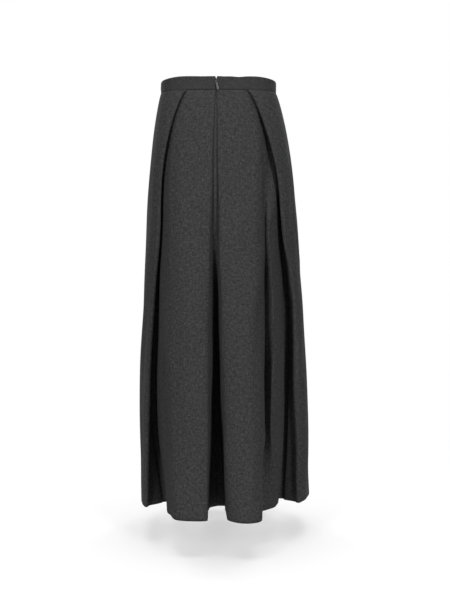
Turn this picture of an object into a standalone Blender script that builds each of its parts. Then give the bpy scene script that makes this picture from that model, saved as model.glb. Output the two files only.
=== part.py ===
"""Full-length pleated skirt in dark grey flannel, in the shape it takes when it is worn.

Frame: the origin is the centre of the waistband and +Z is up. The back of the skirt, with
its zip, faces -Y, and +X is to the right as the back is seen. The cloth is cut as a front
and two backs, set into a waistband. Each panel is a wall swept down through plan sections.
A section follows the skirt's fold lines, each given by its angle round the body, measured
from the centre back, and by how far it stands out of a smooth ring or dips into it.
"""

import math

import bmesh
import bpy
import numpy as np
from mathutils import Vector

# Driving sizes, in metres.
LENGTH = 0.970              # top of the waistband to the hem
BAND_HEIGHT = 0.028
BAND_WALL = 0.003           # two layers of cloth and the stiffening between them
BAND_PROUD = 0.0004         # the band's face stands this far out of the panels' faces
CLOTH = 0.0012              # wall of the flannel
SEAM_GAP = 0.0003           # clearance between pieces that are sewn together
LAYER = 0.0023              # from one pressed layer of a pleat to the next, wall and air

BAND_SIDE_DIP = 0.004       # the band's top edge hangs this much lower at the sides
SLIT_HALF_WIDTH = 0.0007    # the band's ends stand this far from the centre back
NOTCH_HALF_WIDTH = 0.0020   # and part into a small notch at the top edge
NOTCH_DEPTH = 0.006
CENTRE_BACK = -3.0          # degrees; the back seam lies a little left of the middle

ZIP_TOP = 0.004             # the tapes start this far below the top edge
ZIP_END = 0.190             # and end here, a zip of 18 cm with its stops
TAPE_WIDTH = 0.012
TAPE_WALL = 0.001
TAPE_SET_IN = 0.0019        # from the middle of the innermost cloth to the middle of the tape

SLIDER_DROP = 0.0095        # from the top edge to the pull tab's hinge
HINGE_PROUD = 0.0019        # the hinge's distance out of the band's face
SLIDER_WIDTH, SLIDER_DEPTH, SLIDER_HEIGHT = 0.0064, 0.0024, 0.0085
ARCH_WIDTH = 0.0008         # the slider's arch is a thin upright plate with an eye
EYE_HALF_DEPTH, EYE_HALF_HEIGHT = 0.0010, 0.0013
ARCH_RIM = 0.0008
PULL_LENGTH = 0.0205        # from the hinge to the tab's rounded end
PULL_THICK = 0.0010
PULL_TOP_HALF, PULL_END_HALF = 0.0021, 0.0027
WINDOW_HALF_WIDTH, WINDOW_HEIGHT = 0.0012, 0.0031
PULL_LEAN = math.radians(10)    # the tab hangs a little to the right

WAIST_SEAM = BAND_HEIGHT + SEAM_GAP          # drop of the panels' top edge
TOP_Z = BAND_HEIGHT / 2                      # the origin is halfway up the band

# Levels down the skirt, as drops from the top of the waistband.
LEVELS = dict(waist=WAIST_SEAM, hip=0.185, thigh=0.360, knee=0.505, shin=0.760, hem=LENGTH)

# The smooth ring, in metres. Its centre moves forward as the hem swings out, which is a
# negative centre_back. Squareness 2 is an ellipse.
RINGS = {
    "centre_back": dict(waist=0.0000, hip=-0.0020, knee=-0.0120, hem=-0.0350),
    "left":        dict(waist=0.1290, hip=0.1550, knee=0.1745, shin=0.1865, hem=0.1860),
    "right":       dict(waist=0.1290, hip=0.1660, knee=0.1945, shin=0.2150, hem=0.2240),
    "back":        dict(waist=0.0940, hip=0.1200, knee=0.1550, hem=0.1970),
    "front":       dict(waist=0.0900, hip=0.1120, knee=0.1500, hem=0.1900),
    "squareness":  dict(waist=2.90, hip=2.50, knee=2.35, hem=2.40),
}
RING_EASE = 0.75            # how early the ring widens below the waist; 1 is a steady flare
FOLD_EASE = 0.60            # how early the folds swing out below the waist

# Layers at the waist seam, in millimetres out of the ring, from the face of the skirt inwards.
OVER, MIDDLE, UNDER = 0.0, -1000 * LAYER, -2000 * LAYER
FACE = -1.0                 # where one layer lies alone


def line(name, steps, **places):
    """One fold line: its name, the steps to the next line, and its places level by level.

    A place is (degrees, millimetres out of the ring). Degrees run from the centre back to
    the right. A level that isn't named follows from the ones around it.
    """
    return name, steps, places


BACK_RIGHT = (
    line("centre_seam", 2, waist=(-3.0, FACE), hip=(-3.3, -2.5), thigh=(-3.1, -12),
         knee=(-2.8, -55), shin=(-2.3, -94), hem=(-2.0, -120)),
    line("trough_right", 4, waist=(-2.4, FACE), hip=(-1.4, -5.5), thigh=(-0.5, -13.5),
         knee=(-1.2, -48), shin=(2.7, -83), hem=(10.3, -122)),
    line("panel_inner", 3, waist=(-1.6, FACE), hip=(0.1, 0.5), thigh=(1.3, 1.5),
         knee=(3.2, 0), shin=(4.6, -10), hem=(6.2, -21)),
    line("panel_middle", 3, waist=(16.0, FACE), hip=(21.0, 3), knee=(20.0, 11), hem=(19.0, 13)),
    line("panel_outer", 3, waist=(32.0, UNDER), hip=(40.5, -3), thigh=(35.8, -3),
         knee=(32.0, -2.5), shin=(27.2, 2), hem=(23.9, 8)),
    line("crease", 2, waist=(40.0, UNDER), hip=(47.5, -12), thigh=(46.0, -26),
         knee=(46.8, -42), shin=(46.0, -66), hem=(39.5, -65)),
    line("ridge", 3, waist=(46.0, UNDER), hip=(55.0, -18), thigh=(45.2, -9.5),
         knee=(45.8, -13.5), shin=(44.5, -38), hem=(58.0, -74)),
    line("inner_under", 1, waist=(54.5, UNDER), hip=(72.0, -10), thigh=(68.0, -30.3),
         knee=(76.0, -42), shin=(80.9, -62.2), hem=(82.3, -82.6)),
    line("inner_over", 6, waist=(54.5, MIDDLE), hip=(70.0, -5), thigh=(68.7, -20.5),
         knee=(75.4, -28.9), shin=(78.1, -49.9), hem=(80.8, -68.4)),
    line("edge_under", 1, waist=(35.2, MIDDLE), hip=(54.0, 0), thigh=(61.6, -9),
         knee=(73.0, -16.8), shin=(75.4, -32.5), hem=(75.6, -37.8)),
    line("edge_over", 9, waist=(35.2, OVER), hip=(53.0, 5), thigh=(59.2, -2.1),
         knee=(70.4, -9.7), shin=(72.4, -24.2), hem=(75.3, -29.9)),
    line("side", 3, waist=(72.0, OVER), hip=(84.0, -1), knee=(93.0, 0), hem=(95.0, -6)),
)
BACK_LEFT = (
    line("side", 9, waist=(-72.0, OVER), hip=(-84.0, -1), knee=(-86.0, -1), hem=(-80.0, -4)),
    line("edge_over", 1, waist=(-38.5, OVER), hip=(-53.0, 6), thigh=(-55.9, 0),
         knee=(-61.9, -7), shin=(-63.6, -6.8), hem=(-63.2, -6.7)),
    line("edge_under", 6, waist=(-38.5, MIDDLE), hip=(-54.2, 1), thigh=(-57.4, -7),
         knee=(-63.7, -14.5), shin=(-65.1, -15.6), hem=(-63.5, -14)),
    line("inner_over", 1, waist=(-57.0, MIDDLE), hip=(-67.5, -3), thigh=(-67.3, -16),
         knee=(-70.3, -22.4), shin=(-73.4, -28), hem=(-69.4, -50)),
    line("inner_under", 3, waist=(-57.0, UNDER), hip=(-69.6, -8), thigh=(-69.2, -23),
         knee=(-70.6, -32), shin=(-75.0, -41.5), hem=(-68.4, -65)),
    line("panel_turn", 3, waist=(-46.0, UNDER), hip=(-54.2, -8.5), thigh=(-52.0, -13),
         knee=(-51.0, -14), shin=(-46.5, -30), hem=(-37.7, -26)),
    line("panel_outer", 4, waist=(-35.0, UNDER), hip=(-45.3, 0.5), thigh=(-40.5, 4),
         knee=(-37.3, 5.5), shin=(-31.0, 1), hem=(-25.3, 0.5)),
    line("panel_middle", 3, waist=(-20.0, FACE), hip=(-27.0, 6), knee=(-22.2, 13),
         hem=(-15.6, -2)),
    line("panel_inner", 4, waist=(-4.4, FACE), hip=(-7.0, 0.5), thigh=(-7.5, 1.9),
         knee=(-8.5, 0.6), shin=(-7.6, -6), hem=(-7.7, -12.3)),
    line("trough_left", 2, waist=(-3.6, FACE), hip=(-5.5, -5.5), thigh=(-6.2, -14),
         knee=(-4.4, -48), shin=(-7.1, -80), hem=(-12.8, -106)),
)
# One half of the front, with degrees from the centre front to the side. Both halves use it.
FRONT_HALF = (
    line("side", 9, waist=(72.0, OVER), hip=(76.0, 0), knee=(72.0, 2), hem=(68.0, 6)),
    line("edge_over", 1, waist=(38.0, OVER), hip=(49.0, 5), knee=(56.0, 8), hem=(56.0, 14)),
    line("edge_under", 6, waist=(38.0, MIDDLE), hip=(50.2, 0), knee=(57.2, 2), hem=(57.5, 4)),
    line("inner_over", 1, waist=(56.0, MIDDLE), hip=(66.0, -5), knee=(66.0, -22),
         hem=(62.0, -44)),
    line("inner_under", 3, waist=(56.0, UNDER), hip=(67.5, -10), knee=(65.5, -31),
         hem=(60.0, -56)),
    line("panel_turn", 3, waist=(44.0, UNDER), hip=(49.0, -8), knee=(44.0, -12),
         hem=(38.0, -20)),
    line("panel_outer", 4, waist=(34.0, UNDER), hip=(38.0, -1), knee=(32.0, 6), hem=(27.0, 9)),
)
CENTRE_FRONT = line("centre_front", 4, waist=(180, FACE), hip=(180, 0), knee=(180, -6),
                    hem=(180, -22))
RIGHT_SEAM = line("right_side_seam", 4, waist=(92.0, OVER), hip=(97.0, 0), knee=(104.0, 0),
                  hem=(108.0, 0))
LEFT_SEAM = line("left_side_seam", 4, waist=(-92.0, OVER), hip=(-95.0, 0), knee=(-98.0, 0),
                 hem=(-100.0, -2))

# Drops at which the panels have a section: close together where the pleats swing out.
PANEL_DROPS = tuple(WAIST_SEAM + part * (LENGTH - WAIST_SEAM) for part in (
    0.0, 0.008, 0.020, 0.038, 0.062, 0.094, 0.135, 0.185, 0.245, 0.315,
    0.395, 0.485, 0.580, 0.680, 0.780, 0.885, 1.0))

BAND_DROPS = (0.0, NOTCH_DEPTH / 2, NOTCH_DEPTH, BAND_HEIGHT)
BAND_STEPS = 72
TAPE_DROPS = (ZIP_TOP, *(drop for drop in PANEL_DROPS if drop < ZIP_END), ZIP_END)
END_STEPS = 4               # round the pull tab's end, a quarter turn

FLANNEL = dict(colour=(0.040, 0.040, 0.042), roughness=0.95, metallic=0.0)
TAPE = dict(colour=(0.012, 0.012, 0.013), roughness=0.80, metallic=0.0)
GUNMETAL = dict(colour=(0.085, 0.085, 0.088), roughness=0.45, metallic=0.6)


def clear_scene():
    for item in list(bpy.data.objects):
        bpy.data.objects.remove(item, do_unlink=True)


def material(name, colour, roughness, metallic):
    made = bpy.data.materials.new(name)
    made.use_nodes = True
    shader = made.node_tree.nodes["Principled BSDF"]
    shader.inputs["Base Color"].default_value = (*colour, 1.0)
    shader.inputs["Roughness"].default_value = roughness
    shader.inputs["Metallic"].default_value = metallic
    return made


def add_object(name, mesh_builder, look):
    """Makes one object from a bmesh, with its faces turned outwards."""
    mesh = bpy.data.meshes.new(name)
    bmesh.ops.recalc_face_normals(mesh_builder, faces=mesh_builder.faces)
    mesh_builder.to_mesh(mesh)
    mesh_builder.free()
    mesh.materials.append(look)
    mesh.shade_smooth()
    mesh.set_sharp_from_angle(angle=math.radians(40))
    made = bpy.data.objects.new(name, mesh)
    bpy.context.collection.objects.link(made)
    return made


def smooth_through(knots, values, places):
    """A curve through the values that never swings past them (monotone cubic)."""
    knots, values, places = (np.asarray(item, dtype=float) for item in (knots, values, places))
    width = np.diff(knots)
    slope = np.diff(values) / width
    tangent = np.zeros_like(values)
    tangent[0], tangent[-1] = slope[0], slope[-1]
    before, after = slope[:-1], slope[1:]
    same_way = before * after > 0
    weight_before = 2 * width[1:] + width[:-1]
    weight_after = width[1:] + 2 * width[:-1]
    total = weight_before + weight_after
    safe_before = np.where(same_way, before, 1.0)
    safe_after = np.where(same_way, after, 1.0)
    mean = total / (weight_before / safe_before + weight_after / safe_after)
    tangent[1:-1] = np.where(same_way, mean, 0.0)
    span = np.clip(np.searchsorted(knots, places, side="right") - 1, 0, len(width) - 1)
    part = (places - knots[span]) / width[span]
    rise = part * part * (3 - 2 * part)
    leave = part * (1 - part) ** 2 * width[span]
    arrive = -part * part * (1 - part) * width[span]
    return (values[span] * (1 - rise) + values[span + 1] * rise
            + tangent[span] * leave + tangent[span + 1] * arrive)


def eased(drop, ease):
    """0 at the waist seam and 1 at the hem, gaining fastest near the waist."""
    return (max(drop - WAIST_SEAM, 0.0) / (LENGTH - WAIST_SEAM)) ** ease


def at_drop(levels, drop, ease):
    """Reads values given at some of the named levels, at any drop."""
    knots = [eased(LEVELS[name], ease) for name in levels]
    return float(smooth_through(knots, list(levels.values()), [eased(drop, ease)])[0])


def ring_at(drop):
    return {name: at_drop(levels, drop, RING_EASE) for name, levels in RINGS.items()}


def place_at(row, drop):
    """A fold line's degrees and metres out of the ring, at one drop."""
    places = row[2]
    degrees = at_drop({name: place[0] for name, place in places.items()}, drop, FOLD_EASE)
    out = at_drop({name: place[1] for name, place in places.items()}, drop, FOLD_EASE)
    return degrees, out / 1000


def plan_point(ring, degrees, out):
    """The point at an angle from the centre back, out of the ring by a distance in metres."""
    across = math.sin(math.radians(degrees))
    backward = math.cos(math.radians(degrees))
    half_width = ring["right"] if across >= 0 else ring["left"]
    half_depth = ring["back"] if backward >= 0 else ring["front"]
    power = ring["squareness"]
    reach = (abs(across / half_width) ** power + abs(backward / half_depth) ** power)
    radius = reach ** (-1 / power) + out
    return Vector((across * radius, -(backward * radius + ring["centre_back"])))


def with_degrees(row, turned):
    """The same fold line with a change made to its degrees at each level."""
    name, steps, places = row
    return line(name, steps, **{level: (turned(degrees), out)
                                for level, (degrees, out) in places.items()})


def loop_rows():
    """All fold lines once round the skirt, from the centre-back seam back to it."""
    front_right = [with_degrees(row, lambda degrees: 180 - degrees) for row in FRONT_HALF]
    front_left = [with_degrees(row, lambda degrees: 180 + degrees) for row in FRONT_HALF]
    steps = [row[1] for row in FRONT_HALF]
    front_left = [(row[0], count, row[2]) for row, count
                  in zip(reversed(front_left), [*reversed(steps[:-1]), steps[0]])]
    back_left = [with_degrees(row, lambda degrees: degrees + 360)
                 for row in (LEFT_SEAM, *BACK_LEFT, BACK_RIGHT[0])]
    return [*BACK_RIGHT, RIGHT_SEAM, *front_right, CENTRE_FRONT, *front_left, *back_left]


def rounded_turn(previous, first, second, following):
    """Three places on a half round from one layer of a fold to the next, bulging outwards."""
    middle = (first + second) / 2
    arm = first - middle
    bulge = Vector((-arm.y, arm.x))
    if bulge.dot(first - previous + second - following) < 0:
        bulge.negate()
    return [middle + arm * math.cos(angle) + bulge * math.sin(angle)
            for angle in (math.pi / 4, math.pi / 2, 3 * math.pi / 4)]


def folds_back(row, following):
    """True where the cloth turns right back on itself between this line and the next."""
    kinds = (row[0].split("_")[0], following[0].split("_")[0])
    return kinds in (("inner", "inner"), ("edge", "edge"))


def whole_section(drop):
    """Points along the middle of the cloth, once round, and each seam's place among them."""
    rows = loop_rows()
    ring = ring_at(drop)
    scale = (ring["left"] + ring["right"]) / 2
    places = [place_at(row, drop) for row in rows]
    lines = [Vector((math.radians(degrees) * scale, out)) for degrees, out in places]
    stations, counts, seams = [lines[0]], [], {rows[0][0]: 0}
    for index, row in enumerate(rows[:-1]):
        if folds_back(row, rows[index + 1]):
            stations += rounded_turn(*lines[index - 1:index + 3])
            counts += [row[1]] * 3
        stations.append(lines[index + 1])
        counts.append(row[1])
        if rows[index + 1][0].endswith("side_seam"):
            seams[rows[index + 1][0]] = sum(counts)
    around, outward = walked(stations, counts, Vector((math.tau * scale, 0)))
    points = [plan_point(ring, math.degrees(angle / scale), out)
              for angle, out in zip(around, outward)]
    return points, seams


def walked(stations, counts, once_round):
    """Smooth values at equal steps between stations on a loop that closes on itself."""
    spare = 2
    before = [station - once_round for station in stations[-1 - spare:-1]]
    after = [station + once_round for station in stations[1:1 + spare]]
    everything = [*before, *stations, *after]
    gaps = [max((b - a).length, 1e-6) for a, b in zip(everything, everything[1:])]
    knots = np.concatenate(([0.0], np.cumsum(gaps)))
    places = [knots[spare]]
    for index, count in enumerate(counts, start=spare):
        places += list(np.linspace(knots[index], knots[index + 1], count + 1)[1:])
    return (smooth_through(knots, [item.x for item in everything], places),
            smooth_through(knots, [item.y for item in everything], places))


def panel_section(panel, drop):
    """One panel's plan points and the direction square to the cloth at each of them."""
    points, seams = whole_section(drop)
    sides = side_directions(points, closed=True)
    right, left = seams["right_side_seam"], seams["left_side_seam"]
    first, last = {"back_right": (0, right), "front": (right, left),
                   "back_left": (left, len(points) - 1)}[panel]
    return drawn_in(points[first:last + 1]), sides[first:last + 1]


def drawn_in(points):
    """The points with both ends drawn in along the cloth by half a seam's gap."""
    first = points[0] + (points[1] - points[0]).normalized() * SEAM_GAP / 2
    last = points[-1] + (points[-2] - points[-1]).normalized() * SEAM_GAP / 2
    return [first, *points[1:-1], last]


def side_directions(points, closed=False):
    """For each plan point, the direction square to the cloth, out of the skirt."""
    found = []
    last = len(points) - 1
    for index, point in enumerate(points):
        before = points[index - 1] if index else points[last - 1 if closed else 0]
        after = points[index + 1] if index < last else points[1 if closed else last]
        arriving = (point - before).normalized()
        leaving = (after - point).normalized()
        along = (arriving + leaving).normalized()
        found.append(Vector((along.y, -along.x)))
    return found


def wall(sections, outside, inside):
    """A closed wall through sections of (plan points, outward directions, heights).

    Its two faces lie at the distances outside and inside, measured outwards from the points.
    """
    builder = bmesh.new()
    grids = []
    for offset in (outside, inside):
        grids.append([[builder.verts.new((*(point + side * offset), height))
                       for point, side, height in zip(points, sides, heights)]
                      for points, sides, heights in sections])
    outer, inner = grids
    rows, columns = len(outer), len(outer[0])
    for row in range(rows - 1):
        for column in range(columns - 1):
            for grid in grids:
                builder.faces.new((grid[row][column], grid[row][column + 1],
                                   grid[row + 1][column + 1], grid[row + 1][column]))
    for row in (0, rows - 1):
        for column in range(columns - 1):
            builder.faces.new((outer[row][column], outer[row][column + 1],
                               inner[row][column + 1], inner[row][column]))
    for column in (0, columns - 1):
        for row in range(rows - 1):
            builder.faces.new((outer[row][column], outer[row + 1][column],
                               inner[row + 1][column], inner[row][column]))
    return builder


def level_section(points, sides, drop):
    return points, sides, [TOP_Z - drop] * len(points)


def make_panel(panel, look):
    sections = [level_section(*panel_section(panel, drop), drop) for drop in PANEL_DROPS]
    return add_object(panel, wall(sections, CLOTH / 2, -CLOTH / 2), look)


def band_section(drop):
    """The band's outer face at one drop, from one end of the strip to the other."""
    ring = ring_at(WAIST_SEAM)
    opening = max(0.0, 1 - drop / NOTCH_DEPTH) * (NOTCH_HALF_WIDTH - SLIT_HALF_WIDTH)
    clear = math.degrees((SLIT_HALF_WIDTH + opening) / ring["back"])
    turns = np.linspace(CENTRE_BACK + clear, CENTRE_BACK + 360 - clear, BAND_STEPS + 1)
    points = [plan_point(ring, degrees, CLOTH / 2 + BAND_PROUD) for degrees in turns]
    dip = BAND_SIDE_DIP * (1 - drop / BAND_HEIGHT)
    heights = [TOP_Z - drop - dip * math.sin(math.radians(degrees)) ** 4 for degrees in turns]
    return points, side_directions(points), heights


def make_waistband(look):
    sections = [band_section(drop) for drop in BAND_DROPS]
    return add_object("waistband", wall(sections, 0.0, -BAND_WALL), look)


def make_tape(name, side, look):
    """One tape of the zip: a flat strip behind the back seam, to one side of it."""
    sections = []
    for drop in TAPE_DROPS:
        around = whole_section(max(drop, WAIST_SEAM))[0]
        seam = around[0]
        inmost = max(point.y for point in around
                     if point.y < 0 and abs(point.x - seam.x) < TAPE_WIDTH)
        points = [Vector((seam.x + side * reach, inmost))
                  for reach in (SLIT_HALF_WIDTH, TAPE_WIDTH)]
        sections.append(level_section(points, [Vector((0, -1))] * 2, drop))
    return add_object(name, wall(sections, TAPE_WALL / 2 - TAPE_SET_IN,
                                 -TAPE_WALL / 2 - TAPE_SET_IN), look)


def hinge_point():
    """Where the pull tab's bar runs through the eye of the slider."""
    face = plan_point(ring_at(WAIST_SEAM), CENTRE_BACK, CLOTH / 2 + BAND_PROUD + HINGE_PROUD)
    return Vector((face.x, face.y, TOP_Z - SLIDER_DROP))


def guide_box(name, size, centre):
    """A box that shapes another piece and isn't a piece itself."""
    bpy.ops.mesh.primitive_cube_add(size=1.0, location=centre)
    box = bpy.context.object
    box.name = name
    box.scale = size
    box.hide_render = True
    box.display_type = "WIRE"
    return box


def shape_with(piece, operation, guide):
    change = piece.modifiers.new(guide.name, "BOOLEAN")
    change.operation = operation
    change.object = guide
    change.solver = "EXACT"


def make_slider(look):
    """The slider: a body behind the tapes, and an arch through the slit, with the eye."""
    hinge = hinge_point()
    seam = whole_section(WAIST_SEAM)[0][0]
    body_front = seam.y + TAPE_SET_IN + TAPE_WALL / 2 + SEAM_GAP
    builder = bmesh.new()
    bmesh.ops.create_cube(builder, size=1.0)
    bmesh.ops.scale(builder, vec=(SLIDER_WIDTH, SLIDER_DEPTH, SLIDER_HEIGHT),
                    verts=builder.verts)
    body = add_object("zip_slider", builder, look)
    body.location = (hinge.x, body_front + SLIDER_DEPTH / 2, hinge.z)
    rounding = body.modifiers.new("rounding", "BEVEL")
    rounding.width = 0.0006
    rounding.segments = 2
    arch_front = hinge.y - EYE_HALF_DEPTH - ARCH_RIM
    arch_back = body_front + SLIDER_DEPTH / 2
    arch = guide_box("arch_guide",
                     (ARCH_WIDTH, arch_back - arch_front, 2 * (EYE_HALF_HEIGHT + ARCH_RIM)),
                     (hinge.x, (arch_front + arch_back) / 2, hinge.z))
    eye = guide_box("eye_guide", (4 * ARCH_WIDTH, 2 * EYE_HALF_DEPTH, 2 * EYE_HALF_HEIGHT), hinge)
    shape_with(body, "UNION", arch)
    shape_with(body, "DIFFERENCE", eye)
    return body


def pull_outline():
    """The teardrop tab's edge and its window's edge, with a point on one for each on the other."""
    end_centre = -PULL_LENGTH + PULL_END_HALF
    right = [(0.0, PULL_THICK / 2), (PULL_TOP_HALF, PULL_THICK / 2),
             (PULL_TOP_HALF, -WINDOW_HEIGHT - PULL_THICK)]
    for turn in np.linspace(0, 90, END_STEPS + 1):
        angle = math.radians(turn)
        right.append((PULL_END_HALF * math.cos(angle), end_centre - PULL_END_HALF * math.sin(angle)))
    left = [(-x, z) for x, z in reversed(right[1:-1])]
    top, bottom = -PULL_THICK / 2, -PULL_THICK / 2 - WINDOW_HEIGHT
    window_right = [(0.0, top), (WINDOW_HALF_WIDTH, top), (WINDOW_HALF_WIDTH, bottom)]
    for part in np.linspace(0.8, 0.0, END_STEPS + 1):
        window_right.append((WINDOW_HALF_WIDTH * part, bottom))
    window_left = [(-x, z) for x, z in reversed(window_right[1:-1])]
    return right + left, window_right + window_left


def make_pull(look):
    """The pull tab: a teardrop plate that hangs by the bar above its window."""
    outline, window = pull_outline()
    builder = bmesh.new()
    rings = {}
    for face, y in (("front", -PULL_THICK / 2), ("back", PULL_THICK / 2)):
        for edge, spots in (("outline", outline), ("window", window)):
            rings[face, edge] = [builder.verts.new((x, y, z)) for x, z in spots]
    joins = ((("front", "outline"), ("front", "window")), (("back", "outline"), ("back", "window")),
             (("front", "outline"), ("back", "outline")), (("front", "window"), ("back", "window")))
    for one, other in joins:
        first, second = rings[one], rings[other]
        for index in range(len(first)):
            following = (index + 1) % len(first)
            builder.faces.new((first[index], first[following],
                               second[following], second[index]))
    pull = add_object("zip_pull", builder, look)
    pull.location = hinge_point()
    pull.rotation_euler = (0, -PULL_LEAN, 0)
    return pull


def main():
    clear_scene()
    flannel = material("flannel", **FLANNEL)
    tape = material("zip_tape", **TAPE)
    metal = material("zip_metal", **GUNMETAL)
    make_waistband(flannel)
    for panel in ("front", "back_left", "back_right"):
        make_panel(panel, flannel)
    make_tape("zip_tape_left", -1, tape)
    make_tape("zip_tape_right", 1, tape)
    make_slider(metal)
    make_pull(metal)


main()
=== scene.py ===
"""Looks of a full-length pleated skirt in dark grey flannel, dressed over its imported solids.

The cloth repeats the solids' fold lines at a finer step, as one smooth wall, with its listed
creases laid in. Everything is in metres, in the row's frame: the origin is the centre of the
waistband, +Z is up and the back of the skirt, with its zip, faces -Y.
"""

import math

import bmesh
import bpy
import numpy as np
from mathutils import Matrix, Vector


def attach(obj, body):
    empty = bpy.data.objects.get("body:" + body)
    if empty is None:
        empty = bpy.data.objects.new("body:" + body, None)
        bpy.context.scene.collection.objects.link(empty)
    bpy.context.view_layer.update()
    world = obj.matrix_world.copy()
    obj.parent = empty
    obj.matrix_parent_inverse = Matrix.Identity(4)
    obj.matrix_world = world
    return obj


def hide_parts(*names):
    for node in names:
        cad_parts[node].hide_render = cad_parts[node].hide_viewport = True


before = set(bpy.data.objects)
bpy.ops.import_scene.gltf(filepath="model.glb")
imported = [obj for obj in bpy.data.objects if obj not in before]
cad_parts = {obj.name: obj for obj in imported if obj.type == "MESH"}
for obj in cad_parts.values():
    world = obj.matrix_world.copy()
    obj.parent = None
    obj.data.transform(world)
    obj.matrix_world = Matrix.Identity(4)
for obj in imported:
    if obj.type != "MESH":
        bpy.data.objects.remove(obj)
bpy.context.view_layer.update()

# Sizes that the solids have too, in metres. Drops are measured down from the top edge.
LENGTH = 0.970
BAND_HEIGHT = 0.028
BAND_WALL = 0.003
BAND_PROUD = 0.0004
CLOTH = 0.0012
SEAM_GAP = 0.0003
LAYER = 0.0023
BAND_SIDE_DIP = 0.004
NOTCH_HALF_WIDTH = 0.0020
NOTCH_DEPTH = 0.006
CENTRE_BACK = -3.0          # degrees; the back seam lies a little left of the middle
ZIP_END = 0.190
TAPE_WIDTH = 0.012
TAPE_WALL = 0.001
TAPE_SET_IN = 0.0019
SLIDER_DROP = 0.0095
HINGE_PROUD = 0.0019
SLIDER_WIDTH, SLIDER_DEPTH, SLIDER_HEIGHT = 0.0064, 0.0024, 0.0085
ARCH_WIDTH = 0.0008
PULL_LENGTH = 0.0205
PULL_THICK = 0.0010
WINDOW_HEIGHT = 0.0031

WAIST_SEAM = BAND_HEIGHT + SEAM_GAP
TOP_Z = BAND_HEIGHT / 2

# Levels down the skirt, as drops from the top of the waistband.
LEVELS = dict(waist=WAIST_SEAM, hip=0.185, thigh=0.360, knee=0.505, shin=0.760, hem=LENGTH)

# The smooth ring that the folds are measured from, in metres. Squareness 2 is an ellipse.
RINGS = {
    "centre_back": dict(waist=0.0000, hip=-0.0020, knee=-0.0120, hem=-0.0350),
    "left":        dict(waist=0.1290, hip=0.1550, knee=0.1745, shin=0.1865, hem=0.1860),
    "right":       dict(waist=0.1290, hip=0.1660, knee=0.1945, shin=0.2150, hem=0.2240),
    "back":        dict(waist=0.0940, hip=0.1200, knee=0.1550, hem=0.1970),
    "front":       dict(waist=0.0900, hip=0.1120, knee=0.1500, hem=0.1900),
    "squareness":  dict(waist=2.90, hip=2.50, knee=2.35, hem=2.40),
}
RING_EASE = 0.75            # how early the ring widens below the waist; 1 is a steady flare
FOLD_EASE = 0.60            # how early the folds swing out below the waist

# Layers at the waist seam, in millimetres out of the ring, from the face of the skirt inwards.
OVER, MIDDLE, UNDER = 0.0, -1000 * LAYER, -2000 * LAYER
FACE = -1.0                 # where one layer lies alone


def line(name, steps, **places):
    """One fold line: its name, the steps to the next line, and its places level by level.

    A place is (degrees from the centre back to the right, millimetres out of the ring).
    """
    return name, steps, places


# The solids' fold lines. Only at the waist does a smooth panel stay at the band's depth for
# longer here, and turn in right beside the pleat, so that the seam is closed from above.
BACK_RIGHT = (
    line("centre_seam", 2, waist=(-3.0, FACE), hip=(-3.3, -2.5), thigh=(-3.1, -12),
         knee=(-2.8, -55), shin=(-2.3, -94), hem=(-2.0, -120)),
    line("trough_right", 4, waist=(-2.4, FACE), hip=(-1.4, -5.5), thigh=(-0.5, -13.5),
         knee=(-1.2, -48), shin=(2.7, -83), hem=(10.3, -122)),
    line("panel_inner", 3, waist=(-1.6, FACE), hip=(0.1, 0.5), thigh=(1.3, 1.5),
         knee=(3.2, 0), shin=(4.6, -10), hem=(6.2, -21)),
    line("panel_middle", 3, waist=(16.0, FACE), hip=(21.0, 3), knee=(20.0, 11), hem=(19.0, 13)),
    line("panel_outer", 3, waist=(32.0, FACE), hip=(40.5, -3), thigh=(35.8, -3),
         knee=(32.0, -2.5), shin=(27.2, 2), hem=(23.9, 8)),
    line("crease", 2, waist=(35.5, UNDER), hip=(47.5, -12), thigh=(46.0, -26),
         knee=(46.8, -42), shin=(46.0, -66), hem=(39.5, -65)),
    line("ridge", 3, waist=(46.0, UNDER), hip=(55.0, -18), thigh=(45.2, -9.5),
         knee=(45.8, -13.5), shin=(44.5, -38), hem=(58.0, -74)),
    line("inner_under", 1, waist=(54.5, UNDER), hip=(72.0, -10), thigh=(68.0, -30.3),
         knee=(76.0, -42), shin=(80.9, -62.2), hem=(82.3, -82.6)),
    line("inner_over", 6, waist=(54.5, MIDDLE), hip=(70.0, -5), thigh=(68.7, -20.5),
         knee=(75.4, -28.9), shin=(78.1, -49.9), hem=(80.8, -68.4)),
    line("edge_under", 1, waist=(35.2, MIDDLE), hip=(54.0, 0), thigh=(61.6, -9),
         knee=(73.0, -16.8), shin=(75.4, -32.5), hem=(75.6, -37.8)),
    line("edge_over", 9, waist=(35.2, OVER), hip=(53.0, 5), thigh=(59.2, -2.1),
         knee=(70.4, -9.7), shin=(72.4, -24.2), hem=(75.3, -29.9)),
    line("side", 3, waist=(72.0, OVER), hip=(84.0, -1), knee=(93.0, 0), hem=(95.0, -6)),
)
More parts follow.
